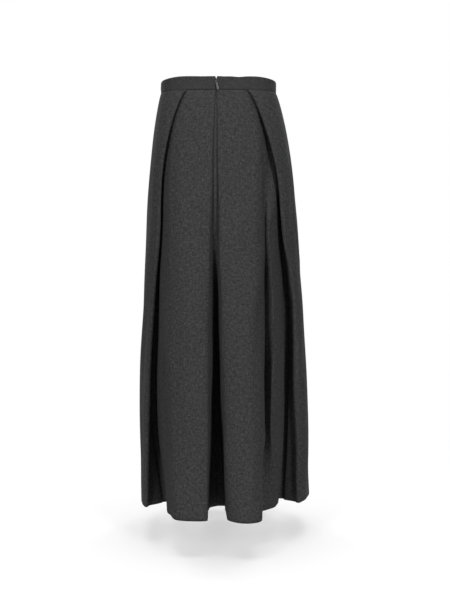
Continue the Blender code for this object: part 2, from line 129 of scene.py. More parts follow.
BACK_LEFT = (
    line("side", 9, waist=(-72.0, OVER), hip=(-84.0, -1), knee=(-86.0, -1), hem=(-80.0, -4)),
    line("edge_over", 1, waist=(-38.5, OVER), hip=(-53.0, 6), thigh=(-55.9, 0),
         knee=(-61.9, -7), shin=(-63.6, -6.8), hem=(-63.2, -6.7)),
    line("edge_under", 6, waist=(-38.5, MIDDLE), hip=(-54.2, 1), thigh=(-57.4, -7),
         knee=(-63.7, -14.5), shin=(-65.1, -15.6), hem=(-63.5, -14)),
    line("inner_over", 1, waist=(-57.0, MIDDLE), hip=(-67.5, -3), thigh=(-67.3, -16),
         knee=(-70.3, -22.4), shin=(-73.4, -28), hem=(-69.4, -50)),
    line("inner_under", 3, waist=(-57.0, UNDER), hip=(-69.6, -8), thigh=(-69.2, -23),
         knee=(-70.6, -32), shin=(-75.0, -41.5), hem=(-68.4, -65)),
    line("panel_turn", 3, waist=(-38.8, UNDER), hip=(-54.2, -8.5), thigh=(-52.0, -13),
         knee=(-51.0, -14), shin=(-46.5, -30), hem=(-37.7, -26)),
    line("panel_outer", 4, waist=(-35.3, FACE), hip=(-45.3, 0.5), thigh=(-40.5, 4),
         knee=(-37.3, 5.5), shin=(-31.0, 1), hem=(-25.3, 0.5)),
    line("panel_middle", 3, waist=(-20.0, FACE), hip=(-27.0, 6), knee=(-22.2, 13),
         hem=(-15.6, -2)),
    line("panel_inner", 4, waist=(-4.4, FACE), hip=(-7.0, 0.5), thigh=(-7.5, 1.9),
         knee=(-8.5, 0.6), shin=(-7.6, -6), hem=(-7.7, -12.3)),
    line("trough_left", 2, waist=(-3.6, FACE), hip=(-5.5, -5.5), thigh=(-6.2, -14),
         knee=(-4.4, -48), shin=(-7.1, -80), hem=(-12.8, -106)),
)
FRONT_HALF = (
    line("side", 9, waist=(72.0, OVER), hip=(76.0, 0), knee=(72.0, 2), hem=(68.0, 6)),
    line("edge_over", 1, waist=(38.0, OVER), hip=(49.0, 5), knee=(56.0, 8), hem=(56.0, 14)),
    line("edge_under", 6, waist=(38.0, MIDDLE), hip=(50.2, 0), knee=(57.2, 2), hem=(57.5, 4)),
    line("inner_over", 1, waist=(56.0, MIDDLE), hip=(66.0, -5), knee=(66.0, -22),
         hem=(62.0, -44)),
    line("inner_under", 3, waist=(56.0, UNDER), hip=(67.5, -10), knee=(65.5, -31),
         hem=(60.0, -56)),
    line("panel_turn", 3, waist=(38.3, UNDER), hip=(49.0, -8), knee=(44.0, -12),
         hem=(38.0, -20)),
    line("panel_outer", 4, waist=(34.8, FACE), hip=(38.0, -1), knee=(32.0, 6), hem=(27.0, 9)),
)
CENTRE_FRONT = line("centre_front", 4, waist=(180, FACE), hip=(180, 0), knee=(180, -6),
                    hem=(180, -22))
RIGHT_SEAM = line("right_side_seam", 4, waist=(92.0, OVER), hip=(97.0, 0), knee=(104.0, 0),
                  hem=(108.0, 0))
LEFT_SEAM = line("left_side_seam", 4, waist=(-92.0, OVER), hip=(-95.0, 0), knee=(-98.0, 0),
                 hem=(-100.0, -2))

# Fineness of the dressed cloth.
FINER = 4                   # steps here for each of the solids' steps round the skirt
ROWS = 120                  # steps from the waist seam to the hem
TURN_PARTS = 3              # points that round a folded edge

# Soft creases, laid in one by one. Each follows the cloth between a fold line and the next one,
# at the shares of the way that are given for its top and its foot. The drops say where it
# starts and ends. Its half width and its height out of the cloth are in millimetres.
CREASES = (
    # panel, fold line, share at top and foot, drop at top and foot, half width, height
    ("back_right", "edge_over", 0.52, 0.60, 0.150, 0.470, 5.0, 1.7),
    ("back_right", "edge_over", 0.70, 0.76, 0.140, 0.480, 4.5, -2.2),
    ("back_right", "panel_middle", 0.35, 0.10, 0.120, 0.520, 13.0, -1.6),
    ("back_right", "panel_middle", 0.75, 0.55, 0.180, 0.640, 11.0, 1.3),
    ("back_right", "panel_inner", 0.55, 0.70, 0.300, 0.900, 15.0, 1.5),
    ("back_right", "panel_outer", 0.25, 0.20, 0.060, 0.240, 7.0, -0.8),
    ("back_right", "side", 0.30, 0.10, 0.080, 0.560, 12.0, 0.9),
    ("back_right", "side", 0.75, 0.60, 0.350, 0.940, 16.0, -2.2),
    ("back_left", "side", 0.35, 0.55, 0.110, 0.520, 10.0, 0.9),
    ("back_left", "side", 0.70, 0.62, 0.420, 0.930, 14.0, -1.8),
    ("back_left", "side", 0.12, 0.20, 0.060, 0.330, 8.0, -1.3),
    ("back_left", "panel_outer", 0.45, 0.70, 0.130, 0.560, 12.0, 1.4),
    ("back_left", "panel_middle", 0.40, 0.25, 0.150, 0.480, 11.0, -1.6),
    ("back_left", "panel_middle", 0.62, 0.80, 0.380, 0.900, 14.0, 1.2),
    ("front_right", "edge_over", 0.55, 0.40, 0.090, 0.500, 12.0, 1.8),
    ("front_right", "side", 0.45, 0.60, 0.200, 0.880, 15.0, -2.2),
    ("front_right", "panel_outer", 0.35, 0.60, 0.140, 0.620, 13.0, -1.6),
    ("front_right", "panel_outer", 0.80, 0.70, 0.420, 0.930, 17.0, 1.9),
    ("front_left", "side", 0.40, 0.55, 0.100, 0.460, 11.0, -1.7),
    ("front_left", "side", 0.75, 0.60, 0.330, 0.910, 15.0, 2.0),
    ("front_left", "panel_outer", 0.50, 0.30, 0.110, 0.540, 12.0, 1.6),
    ("front_left", "panel_outer", 0.75, 0.85, 0.380, 0.900, 16.0, -1.8),
)
# Slow unevenness of the hanging cloth: wavelengths round and down, start, and height.
WAVES = (
    # metres round, metres down, part of a turn, millimetres
    (0.083, 0.410, 0.10, 0.45),
    (0.131, 0.290, 0.55, 0.50),
    (0.057, 0.230, 0.30, 0.25),
    (0.211, 0.170, 0.80, 0.35),
    (0.041, 0.620, 0.65, 0.20),
)
WAVES_FULL = 0.12           # they reach their full height this far below the waist seam

# Seams and hems of the panels, in metres.
SEAM_DITCH, SEAM_HALF = 0.0011, 0.0022      # depth and half width of the ditch at a seam
SEAM_PAST = 0.00004         # a panel's edge runs this far past the seam's line
SLIT_FOOT = 0.050           # the back seam gapes a little down to here, over the zip
SLIT_FADE = 0.030           # and closes over this length
SLIT_OPEN = 0.0008          # by this much on each side
HEM_TURN = 0.035            # depth of the turned-up hem, inside
HEM_STEP = 0.002
HEM_EXTRA = 0.0008          # what its second layer adds to the wall
HEM_TACK = 0.00018          # how far its sewing draws the face in
ALLOWANCE = 0.012           # width of the pressed seam allowances, inside
ALLOWANCE_STEP = 0.0015
ALLOWANCE_EXTRA = 0.0007    # what they add to the wall
BELOW_ZIP = 0.012           # at the back they start this far below the zip
BELOW_ZIP_FADE = 0.010

# The waistband's edges and surface, in metres.
BAND_STEPS = 288
BAND_ROWS = 14
BAND_SOFT = 0.0012          # reach of its rounded edges
BAND_FOOT_IN = 0.0004       # how far its foot is drawn in by the seam
SLIT_HALF_WIDTH = 0.0010    # the band's ends stand this far from the centre back
BAND_END_IN = 0.0006        # and are turned in by this much
BAND_END_HALF = 0.7         # over this many degrees
# Ripples of the band's face: metres high, waves round the band, degrees a metre down.
BAND_RIPPLES = ((0.00025, 9, 9000), (0.00020, 23, -14000))
# Dips of the band's top edge: degrees, half width in degrees, depth in millimetres.
BAND_DIPS = ((25.0, 7.0, 1.6), (9.0, 6.0, 0.6), (48.0, 13.0, -1.6), (-47.0, 15.0, -1.8),
             (88.0, 11.0, 2.6), (-88.0, 11.0, 4.4), (-20.0, 8.0, 0.3), (118.0, 12.0, 0.9),
             (171.0, 14.0, 0.8), (238.0, 12.0, 0.8))

# The zip's tapes, coil and slider, in metres.
TAPE_TOP, TAPE_EDGE, TAPE_THICK = 0.0026, 0.0004, 0.0008
TAPE_ROWS, TAPE_COLUMNS = 60, 13
COIL_TOP, COIL_FOOT, COIL_PITCH = 0.012, 0.184, 0.0011
COIL_HALF_WIDTH, COIL_HALF_DEPTH, COIL_WIRE = 0.0012, 0.0006, 0.00027
COIL_APART = 0.0008         # each spiral's middle lies this far from the seam
COIL_TURN_STEPS = 10        # points on one turn of a spiral
COIL_SIDES = 6
COIL_GUIDE = 25             # the zip's line is worked out for one point in so many
SLIDER_BEVEL, SLIDER_NARROW = 0.0006, 0.72
STEM_HEIGHT, STEM_BEVEL = 0.0032, 0.00015
STEM_INTO_EYE, STEM_INTO_BODY = 0.0003, 0.0009      # how far the stem runs into both
EYE_DEEP, EYE_HIGH, EYE_WIRE = 0.0014, 0.0017, 0.0004
EYE_STEPS, EYE_SIDES = 24, 10

# The pull tab, slightly smaller than its solid, in metres.
PULL_TOP_HALF, PULL_END_HALF = 0.0018, 0.0024
WINDOW_HALF_WIDTH = 0.0010
WINDOW_CORNER = 0.0004
PULL_LEAN = 12              # degrees to the right
PULL_STEPS = 14
PULL_EDGE = 0.00022         # width of its rounded edge
PULL_EDGE_DEEP = 0.0003     # and depth
PULL_HOLLOW = 0.00012       # depth of the hollow in its inner face
WINDOW_BEVEL, WINDOW_BEVEL_DEEP = 0.00018, 0.00016

# Colours, as linear light.
FLANNEL = (0.0405, 0.0405, 0.0415)
FLANNEL_SHEEN = (0.55, 0.55, 0.57)
TAPE = (0.012, 0.012, 0.013)
NYLON = (0.007, 0.007, 0.0075)
ENAMEL = (0.16, 0.16, 0.165)

# The camera stands where the photograph's does.
CAMERA_PLACE = (0.0, -2.2, -0.2936)
CAMERA_DOWN = 4.89          # degrees below level
FOCAL_PIXELS = 955.0        # focal length, in pixels of the image
SHIFT_PIXELS = 6.5          # how far the image's middle lies off the lens's axis
IMAGE_HEIGHT = 600.0
SENSOR = 36.0               # millimetres for the image's height

# Soft lamps: name, place, the point it faces, width and height, and power in watts.
MIDDLE_POINT = (0.0, 0.0, -0.35)
LAMPS = (
    ("key_left", (-1.95, -2.85, 0.5), MIDDLE_POINT, (0.8, 1.4), 71.0),
    ("key_right", (1.95, -2.85, 0.5), MIDDLE_POINT, (0.8, 1.4), 71.0),
    ("far_left", (-2.1, 2.7, 0.6), MIDDLE_POINT, (1.0, 1.4), 50.0),
    ("far_right", (2.1, 2.7, 0.6), MIDDLE_POINT, (1.0, 1.4), 50.0),
    ("above", (0.0, 0.0, 2.6), (0.0, 0.0, -1.0), (2.4, 2.4), 85.0),
)
AMBIENT = 0.075             # how strongly the white surroundings light the skirt
WHITE = (1.0, 1.0, 1.0, 1.0)
FLOOR_DROP = 0.085          # from the hem to the floor
FLOOR_RADIUS = 1.5          # where the floor has faded into the white
FLOOR_SIDES = 96
FLOOR_STRENGTH = 0.6        # how solid it is in its middle
FLOOR_COLOUR = (0.92, 0.92, 0.92)


def smooth_through(knots, values, places):
    """A curve through the values that never swings past them (monotone cubic)."""
    knots, values, places = (np.asarray(item, dtype=float) for item in (knots, values, places))
    width = np.diff(knots)
    slope = np.diff(values) / width
    tangent = np.zeros_like(values)
    tangent[0], tangent[-1] = slope[0], slope[-1]
    before, after = slope[:-1], slope[1:]
    same_way = before * after > 0
    weight_before = 2 * width[1:] + width[:-1]
    weight_after = width[1:] + 2 * width[:-1]
    total = weight_before + weight_after
    safe_before = np.where(same_way, before, 1.0)
    safe_after = np.where(same_way, after, 1.0)
    mean = total / (weight_before / safe_before + weight_after / safe_after)
    tangent[1:-1] = np.where(same_way, mean, 0.0)
    span = np.clip(np.searchsorted(knots, places, side="right") - 1, 0, len(width) - 1)
    part = (places - knots[span]) / width[span]
    climb = part * part * (3 - 2 * part)
    leave = part * (1 - part) ** 2 * width[span]
    arrive = -part * part * (1 - part) * width[span]
    return (values[span] * (1 - climb) + values[span + 1] * climb
            + tangent[span] * leave + tangent[span + 1] * arrive)


def eased(drop, ease):
    """How far down the skirt a drop lies, as a share that runs early for a small ease."""
    return (max(drop - WAIST_SEAM, 0.0) / (LENGTH - WAIST_SEAM)) ** ease


def at_drop(levels, drop, ease):
    """A value that is given level by level, at any drop."""
    knots = [eased(LEVELS[name], ease) for name in levels]
    return float(smooth_through(knots, list(levels.values()), [eased(drop, ease)])[0])


def ring_at(drop):
    return {name: at_drop(levels, drop, RING_EASE) for name, levels in RINGS.items()}


def place_at(row, drop):
    """A fold line's degrees at a drop, and how far it lies out of the ring, in metres."""
    places = row[2]
    degrees = at_drop({name: place[0] for name, place in places.items()}, drop, FOLD_EASE)
    out = at_drop({name: place[1] for name, place in places.items()}, drop, FOLD_EASE)
    return degrees, out / 1000


def plan_points(ring, degrees, out):
    """Plan points at angles from the centre back, out of the ring by distances in metres."""
    across = np.sin(np.radians(degrees))
    backward = np.cos(np.radians(degrees))
    half_width = np.where(across >= 0, ring["right"], ring["left"])
    half_depth = np.where(backward >= 0, ring["back"], ring["front"])
    power = ring["squareness"]
    reach = np.abs(across / half_width) ** power + np.abs(backward / half_depth) ** power
    radius = reach ** (-1 / power) + out
    return np.stack((across * radius, -(backward * radius + ring["centre_back"])), axis=-1)


def with_degrees(row, turned):
    """The same fold line with its degrees turned into others, such as a mirrored side."""
    name, steps, places = row
    return line(name, steps, **{level: (turned(degrees), out)
                                for level, (degrees, out) in places.items()})


def loop_rows():
    """All fold lines once round the skirt, from the back seam to the right."""
    front_right = [with_degrees(row, lambda degrees: 180 - degrees) for row in FRONT_HALF]
    front_left = [with_degrees(row, lambda degrees: 180 + degrees) for row in FRONT_HALF]
    steps = [row[1] for row in FRONT_HALF]
    front_left = [(row[0], count, row[2]) for row, count
                  in zip(reversed(front_left), [*reversed(steps[:-1]), steps[0]])]
    back_left = [with_degrees(row, lambda degrees: degrees + 360)
                 for row in (LEFT_SEAM, *BACK_LEFT, BACK_RIGHT[0])]
    return [*BACK_RIGHT, RIGHT_SEAM, *front_right, CENTRE_FRONT, *front_left, *back_left]


ROUND = loop_rows()


def rounded_turn(previous, first, second, following):
    """Points that carry the cloth round a folded edge, in place of two sharp corners."""
    middle = (first + second) / 2
    arm = first - middle
    bulge = np.array((-arm[1], arm[0]))
    if bulge @ (first - previous + second - following) < 0:
        bulge = -bulge
    return [middle + arm * math.cos(angle) + bulge * math.sin(angle)
            for angle in (math.pi * part / (TURN_PARTS + 1)
                          for part in range(1, TURN_PARTS + 1))]


def folds_back(row, following):
    """Whether the cloth turns back on itself between two fold lines."""
    kinds = (row[0].split("_")[0], following[0].split("_")[0])
    return kinds in (("inner", "inner"), ("edge", "edge"))


def walked(stations, counts, once_round):
    """A smooth closed path through the stations, with a count of even steps on each span."""
    spare = 2
    before = [station - once_round for station in stations[-1 - spare:-1]]
    after = [station + once_round for station in stations[1:1 + spare]]
    everything = np.array([*before, *stations, *after])
    gaps = np.maximum(np.linalg.norm(np.diff(everything, axis=0), axis=1), 1e-6)
    knots = np.concatenate(([0.0], np.cumsum(gaps)))
    places = [knots[spare]]
    for index, count in enumerate(counts, start=spare):
        places += list(np.linspace(knots[index], knots[index + 1], count + 1)[1:])
    return [smooth_through(knots, everything[:, axis], places) for axis in (0, 1)]


def whole_section(drop):
    """Points along the middle of the cloth once round, and the columns of the side seams."""
    ring = ring_at(drop)
    scale = (ring["left"] + ring["right"]) / 2
    places = [place_at(row, drop) for row in ROUND]
    lines = [np.array((math.radians(degrees) * scale, out)) for degrees, out in places]
    stations, counts, seams = [lines[0]], [], {}
    for index, row in enumerate(ROUND[:-1]):
        if folds_back(row, ROUND[index + 1]):
            stations += rounded_turn(*lines[index - 1:index + 3])
            counts += [row[1] * FINER] * TURN_PARTS
        stations.append(lines[index + 1])
        counts.append(row[1] * FINER)
        if ROUND[index + 1][0].endswith("side_seam"):
            seams[ROUND[index + 1][0]] = sum(counts)
    around, out = walked(stations, counts, np.array((math.tau * scale, 0.0)))
    return plan_points(ring, np.degrees(around / scale), out), seams


def line_columns():
    """The column of the cloth's grid at which each fold line of each panel runs."""
    groups = ["back_right"] * len(BACK_RIGHT) + ["seam"] + ["front_right"] * len(FRONT_HALF)
    groups += ["front", *["front_left"] * len(FRONT_HALF), "seam"]
    groups += ["back_left"] * (len(BACK_LEFT) + 1)
    columns, column = {}, 0
    for group, row, following in zip(groups, ROUND, [*ROUND[1:], ROUND[0]]):
        columns[group, row[0]] = column
        column += row[1] * FINER * (TURN_PARTS + 1 if folds_back(row, following) else 1)
    return columns


def drops_down():
    """Drops of the rows, closer together near the waist, where the pleats open."""
    part = np.linspace(0, 1, ROWS + 1)
    return WAIST_SEAM + (LENGTH - WAIST_SEAM) * (0.55 * part + 0.45 * part ** 1.8)


DROPS = drops_down()


def cloth_grid():
    """Middle of the cloth as rows x points x 3, and the columns of the side seams."""
    points = []
    for drop in DROPS:
        plan, seams = whole_section(drop)
        height = np.full((len(plan), 1), TOP_Z - drop)
        points.append(np.hstack((plan, height)))
    return np.array(points), seams


def outward(grid):
    """Unit directions square to a grid of points that closes on itself sideways."""
    body = grid[:, :-1]
    sideways = np.roll(body, -1, axis=1) - np.roll(body, 1, axis=1)
    downwards = np.gradient(body, axis=0)
    square = np.cross(downwards, sideways)
    square /= np.linalg.norm(square, axis=2, keepdims=True)
    return np.concatenate((square, square[:, :1]), axis=1)


def along_rows(grid):
    """How far each point lies round the skirt from the first of its row."""
    steps = np.linalg.norm(np.diff(grid, axis=1), axis=2)
    return np.concatenate((np.zeros((len(grid), 1)), np.cumsum(steps, axis=1)), axis=1)


def swell(part):
    """0 at both ends of 0 to 1 and beyond, and 1 in between, with soft shoulders."""
    inside = np.clip(part, 0.0, 1.0)
    return np.clip(np.sin(np.pi * inside) * 1.6, 0.0, 1.0) ** 1.5


def crease_heights(grid):
    """How far the creases and the slow waves move each point out of the cloth."""
    across = along_rows(grid)
    columns = line_columns()
    ordered = sorted(columns.values())
    heights = np.zeros(across.shape)
    drops = DROPS[:, None]
    for panel, name, top_share, foot_share, top, foot, half, height in CREASES:
        first = columns[panel, name]
        following = next(column for column in ordered if column > first)
        part = np.clip((DROPS - top) / (foot - top), 0.0, 1.0)
        column = first + (following - first) * (top_share + (foot_share - top_share) * part)
        whole = np.minimum(column.astype(int), across.shape[1] - 2)
        rows = np.arange(len(DROPS))
        middle = (across[rows, whole] * (whole + 1 - column)
                  + across[rows, whole + 1] * (column - whole))
        distance = (across - middle[:, None]) / (half / 1000)
        heights += height / 1000 * np.exp(-distance ** 2) * swell((drops - top) / (foot - top))
    fade = np.clip((drops - WAIST_SEAM) / WAVES_FULL, 0.0, 1.0)
    once = across / across[:, -1:]
    for round_length, down_length, start, height in WAVES:
        turns = round(float(across[-1, -1]) / round_length)
        wave = np.sin(math.tau * (turns * once + drops / down_length + start))
        heights += fade * height / 1000 * wave
    return heights


def linked_object(name, mesh, look):
    """A smooth object in the scene from a mesh and its look."""
    mesh.materials.append(look)
    mesh.shade_smooth()
    made = bpy.data.objects.new(name, mesh)
    bpy.context.collection.objects.link(made)
    return made


def new_sheet(name, vertices, faces, look, layout):
    """A mesh object from plain arrays; layout is each vertex's place along the cloth."""
    mesh = bpy.data.meshes.new(name)
    mesh.from_pydata([tuple(vertex) for vertex in vertices], [], faces)
    mesh.validate()
    layer = mesh.uv_layers.new(name="cloth")
    index = np.empty(len(mesh.loops), dtype=np.int32)
    mesh.loops.foreach_get("vertex_index", index)
    layer.data.foreach_set("uv", np.asarray(layout, dtype=np.float32)[index].ravel())
    builder = bmesh.new()
    builder.from_mesh(mesh)
    bmesh.ops.recalc_face_normals(builder, faces=builder.faces)
    builder.to_mesh(mesh)
    builder.free()
    return linked_object(name, mesh, look)


def shell(name, middle, square, thick, look, extra=0.0):
    """A closed wall on both sides of a grid of points; extra thickens its inner side."""
    rows, columns = middle.shape[:2]
    across = along_rows(middle)
    across -= across[:, columns // 2:columns // 2 + 1]
    falls = np.linalg.norm(np.diff(middle, axis=0), axis=2)
    down = np.concatenate((np.zeros((1, columns)), np.cumsum(falls, axis=0)), axis=0)
    layout = np.stack((across, -down), axis=-1).reshape(-1, 2)
    outer = (middle + square * thick / 2).reshape(-1, 3)
    inner = (middle - square * (thick / 2 + extra)).reshape(-1, 3)
    count = rows * columns
    faces = []
    for row in range(rows - 1):
        for column in range(columns - 1):
            corner = row * columns + column
            square_face = (corner, corner + 1, corner + columns + 1, corner + columns)
            faces.append(square_face)
            faces.append(tuple(count + index for index in reversed(square_face)))
    edge = ([(0, column) for column in range(columns)]
            + [(row, columns - 1) for row in range(1, rows)]
            + [(rows - 1, column) for column in range(columns - 2, -1, -1)]
            + [(row, 0) for row in range(rows - 2, 0, -1)])
    edge = [row * columns + column for row, column in edge]
    for corner, after in zip(edge, edge[1:] + edge[:1]):
        faces.append((corner, after, count + after, count + corner))
    return new_sheet(name, [*outer, *inner], faces, look, [*layout, *layout])


def wire(tree, node, sockets):
    """Sets a node's sockets: another node's output is linked, and a plain value is kept."""
    for socket, value in sockets.items():
        if isinstance(value, bpy.types.NodeSocket):
            tree.links.new(value, node.inputs[socket])
        else:
            node.inputs[socket].default_value = value


def add(tree, kind, name, sockets=None, **options):
    """A named node with its sockets and its options set."""
    made = tree.nodes.new(kind)
    made.name = made.label = name
    for option, value in options.items():
        setattr(made, option, value)
    wire(tree, made, sockets or {})
    return made


def noise(tree, name, vector, scale, detail, roughness, stretch=(1.0, 1.0, 1.0),
          dimensions="2D"):
    """A noise texture, stretched along the cloth's own directions."""
    turn = add(tree, "ShaderNodeMapping", f"{name} direction",
               {"Vector": vector, "Scale": stretch})
    return add(tree, "ShaderNodeTexNoise", name,
               {"Vector": turn.outputs["Vector"], "Scale": scale, "Detail": detail,
                "Roughness": roughness}, noise_dimensions=dimensions).outputs["Fac"]


def stripes(tree, name, vector, slope, sockets):
    """Parallel bands at a slope in degrees across the cloth's own directions."""
    turn = add(tree, "ShaderNodeMapping", f"{name} slope",
               {"Vector": vector, "Rotation": (0.0, 0.0, math.radians(slope))})
    return add(tree, "ShaderNodeTexWave", name,
               {"Vector": turn.outputs["Vector"], **sockets}, wave_type="BANDS").outputs["Fac"]


def spread(tree, name, value, low, high, from_low=0.3, from_high=0.7):
    """Maps a noise's middle range to a pair of values."""
    return add(tree, "ShaderNodeMapRange", name,
               {"Value": value, "From Min": from_low, "From Max": from_high,
                "To Min": low, "To Max": high}).outputs["Result"]


def shades(tree, name, value, depth):
    """Maps a noise to shades that reach a depth below and above an even 1."""
    return spread(tree, name, value, 1 - depth, 1 + depth)


def times(tree, name, one, other):
    """One field of values times another."""
    return add(tree, "ShaderNodeMath", name, {0: one, 1: other},
               operation="MULTIPLY").outputs["Value"]


def bumped(tree, name, height, strength, distance, **under):
    """The normal of a bumped surface, on top of another one if its Normal is given."""
    return add(tree, "ShaderNodeBump", name,
               {"Height": height, "Strength": strength, "Distance": distance,
                **under}).outputs["Normal"]


def new_look(name, colour, **sockets):
    """A material, its node tree, and its shader with plain values set on its sockets."""
    look = bpy.data.materials.new(name)
    look.use_nodes = True
    tree = look.node_tree
    shader = tree.nodes["Principled BSDF"]
    wire(tree, shader, {"Base Color": (*colour, 1.0)})
    wire(tree, shader, {socket.replace("_", " "): value for socket, value in sockets.items()})
    return look, tree, shader


def shaded(tree, colour, depth):
    """A colour made lighter and darker by a field of shades."""
    return add(tree, "ShaderNodeVectorMath", "shades over the colour",
               {0: colour, "Scale": depth}, operation="SCALE").outputs["Vector"]


def flannel_look(name, contrast=1.0):
    """Brushed melange flannel: mixed dark and light fibres over a soft, fine twill."""
    look, tree, shader = new_look(
        name, FLANNEL, Roughness=0.95, Specular_IOR_Level=0.08, Sheen_Weight=0.03,
        Sheen_Roughness=0.4, Sheen_Tint=(*FLANNEL_SHEEN, 1.0))
    place = add(tree, "ShaderNodeUVMap", "along the cloth", uv_map="cloth").outputs["UV"]
    body = add(tree, "ShaderNodeTexCoord", "in the row's frame").outputs["Object"]

    warp = noise(tree, "warp melange", place, 280.0, 5.0, 0.78, (1.0, 0.42, 1.0))
    weft = noise(tree, "weft melange", place, 250.0, 5.0, 0.78, (0.42, 1.0, 1.0))
    fibres = noise(tree, "single fibres", place, 2200.0, 2.0, 0.6, (1.0, 0.35, 1.0))
    nap = noise(tree, "uneven nap", body, 26.0, 3.0, 0.5, dimensions="3D")
    light = noise(tree, "light fibres", place, 620.0, 3.0, 0.7, (0.8, 1.0, 1.0))
    flecks = spread(tree, "light flecks", light, 0.97, 1 + 0.9 * contrast, 0.60, 0.78)
    depth = shades(tree, "warp shades", warp, 0.38 * contrast)
    for added, field in (("weft", shades(tree, "weft shades", weft, 0.34 * contrast)),
                         ("fibres", shades(tree, "fibre shades", fibres, 0.22)),
                         ("nap", shades(tree, "nap shades", nap, 0.035)),
                         ("light fibres", flecks)):
        depth = times(tree, f"with {added}", depth, field)

    twill = stripes(tree, "twill", place, 55,
                    {"Scale": 330.0, "Distortion": 1.6, "Detail": 2.0, "Detail Scale": 1.5})
    fuzz = bumped(tree, "brushed surface", warp, 0.55, 0.0007)
    wire(tree, shader, {"Base Color": shaded(tree, FLANNEL, depth),
                        "Normal": bumped(tree, "twill ribs", twill, 0.22, 0.0003,
                                         Normal=fuzz)})
    return look


def tape_look(name):
    """Flat woven tape: fine sloping dark threads, unevenly worn."""
    look, tree, shader = new_look(name, TAPE, Roughness=0.8, Specular_IOR_Level=0.2)
    place = add(tree, "ShaderNodeUVMap", "along the cloth", uv_map="cloth").outputs["UV"]
    threads = stripes(tree, "threads", place, 38, {"Scale": 420.0, "Distortion": 0.6})
    worn = noise(tree, "uneven threads", place, 700.0, 3.0, 0.6)
    depth = times(tree, "threads and wear",
                  spread(tree, "thread shades", threads, 0.7, 1.5, 0.0, 1.0),
                  spread(tree, "wear shades", worn, 0.8, 1.3))
    wire(tree, shader, {"Base Color": shaded(tree, TAPE, depth),
                        "Normal": bumped(tree, "woven surface", threads, 0.5, 0.0003)})
    return look


def hard_look(name, colour, roughness, metallic, grain, depth):
    """An even hard finish with a fine grain that is uneven in colour, gloss and height."""
    look, tree, shader = new_look(name, colour, Roughness=roughness, Metallic=metallic)
    body = add(tree, "ShaderNodeTexCoord", "in the row's frame").outputs["Object"]
    grains = add(tree, "ShaderNodeTexNoise", "grain",
                 {"Vector": body, "Scale": grain, "Detail": 4.0}).outputs["Fac"]
    ramp = add(tree, "ShaderNodeValToRGB", "shades", {"Fac": grains})
    for stop, (position, share) in zip(ramp.color_ramp.elements, ((0.3, 0.75), (0.7, 1.3))):
        stop.position = position
        stop.color = (*[part * share for part in colour], 1.0)
    rough = spread(tree, "roughness range", grains, roughness * 0.8,
                   min(roughness * 1.2, 1.0), 0.0, 1.0)
    wire(tree, shader, {"Base Color": ramp.outputs["Color"], "Roughness": rough,
                        "Normal": bumped(tree, "surface", grains, 0.3, depth)})
    return look


def bell(distance, half):
    """1 at no distance, and falling softly over a half width."""
    return np.exp(-(distance / half) ** 2)


def rise(distance, start, soft):
    """0 before the start and 1 after it, over a short soft step."""
    part = np.clip((distance - start) / soft + 0.5, 0.0, 1.0)
    return part * part * (3 - 2 * part)


def placed(piece, body, node=None):
    """A piece that rides a body and stands for a node if given."""
    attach(piece, body)
    if node:
        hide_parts(node)
    return piece


def dress_panels(look):
    """The three panels, each a slice of the one cloth that goes round the skirt."""
    middle, seams = cloth_grid()
    square = outward(middle)
    heights = crease_heights(middle)
    heights[:, -1] = heights[:, 0]
    middle = middle + square * heights[..., None]
    square = outward(middle)
    right, left = seams["right_side_seam"], seams["left_side_seam"]
    slices = {"back_right": (0, right), "front": (right, left),
              "back_left": (left, middle.shape[1] - 1)}
    drops = DROPS[:, None]
    turned_up = rise(drops, LENGTH - HEM_TURN, HEM_STEP)
    tacked = bell(drops - (LENGTH - HEM_TURN), HEM_STEP) * HEM_TACK
    made = {}
    for panel, (first, last) in slices.items():
        part = middle[:, first:last + 1].copy()
        facing = square[:, first:last + 1]
        across = along_rows(part)
        from_ends = (across, across[:, -1:] - across)
        extra = HEM_EXTRA * turned_up
        for (end, inner), distance in zip(((0, 1), (-1, -2)), from_ends):
            depth = SEAM_DITCH * bell(distance, SEAM_HALF)
            opened = np.full((len(DROPS), 1), -SEAM_PAST)
            pressed = 1 - rise(distance, ALLOWANCE, ALLOWANCE_STEP)
            if (panel, end) in (("back_right", 0), ("back_left", -1)):
                opened = opened + SLIT_OPEN * (1 - rise(drops, SLIT_FOOT, SLIT_FADE))
                pressed = pressed * rise(drops, ZIP_END + BELOW_ZIP, BELOW_ZIP_FADE)
            extra = np.maximum(extra, ALLOWANCE_EXTRA * pressed)
            along = part[:, inner] - part[:, end]
            along /= np.linalg.norm(along, axis=1, keepdims=True)
            part[:, end] += along * opened
            part -= facing * depth[..., None]
        part -= facing * tacked[..., None]
        cloth = shell(f"{panel}_cloth", part, facing, CLOTH, look, extra[..., None])
        made[panel] = placed(cloth, "skirt", panel)
    return made


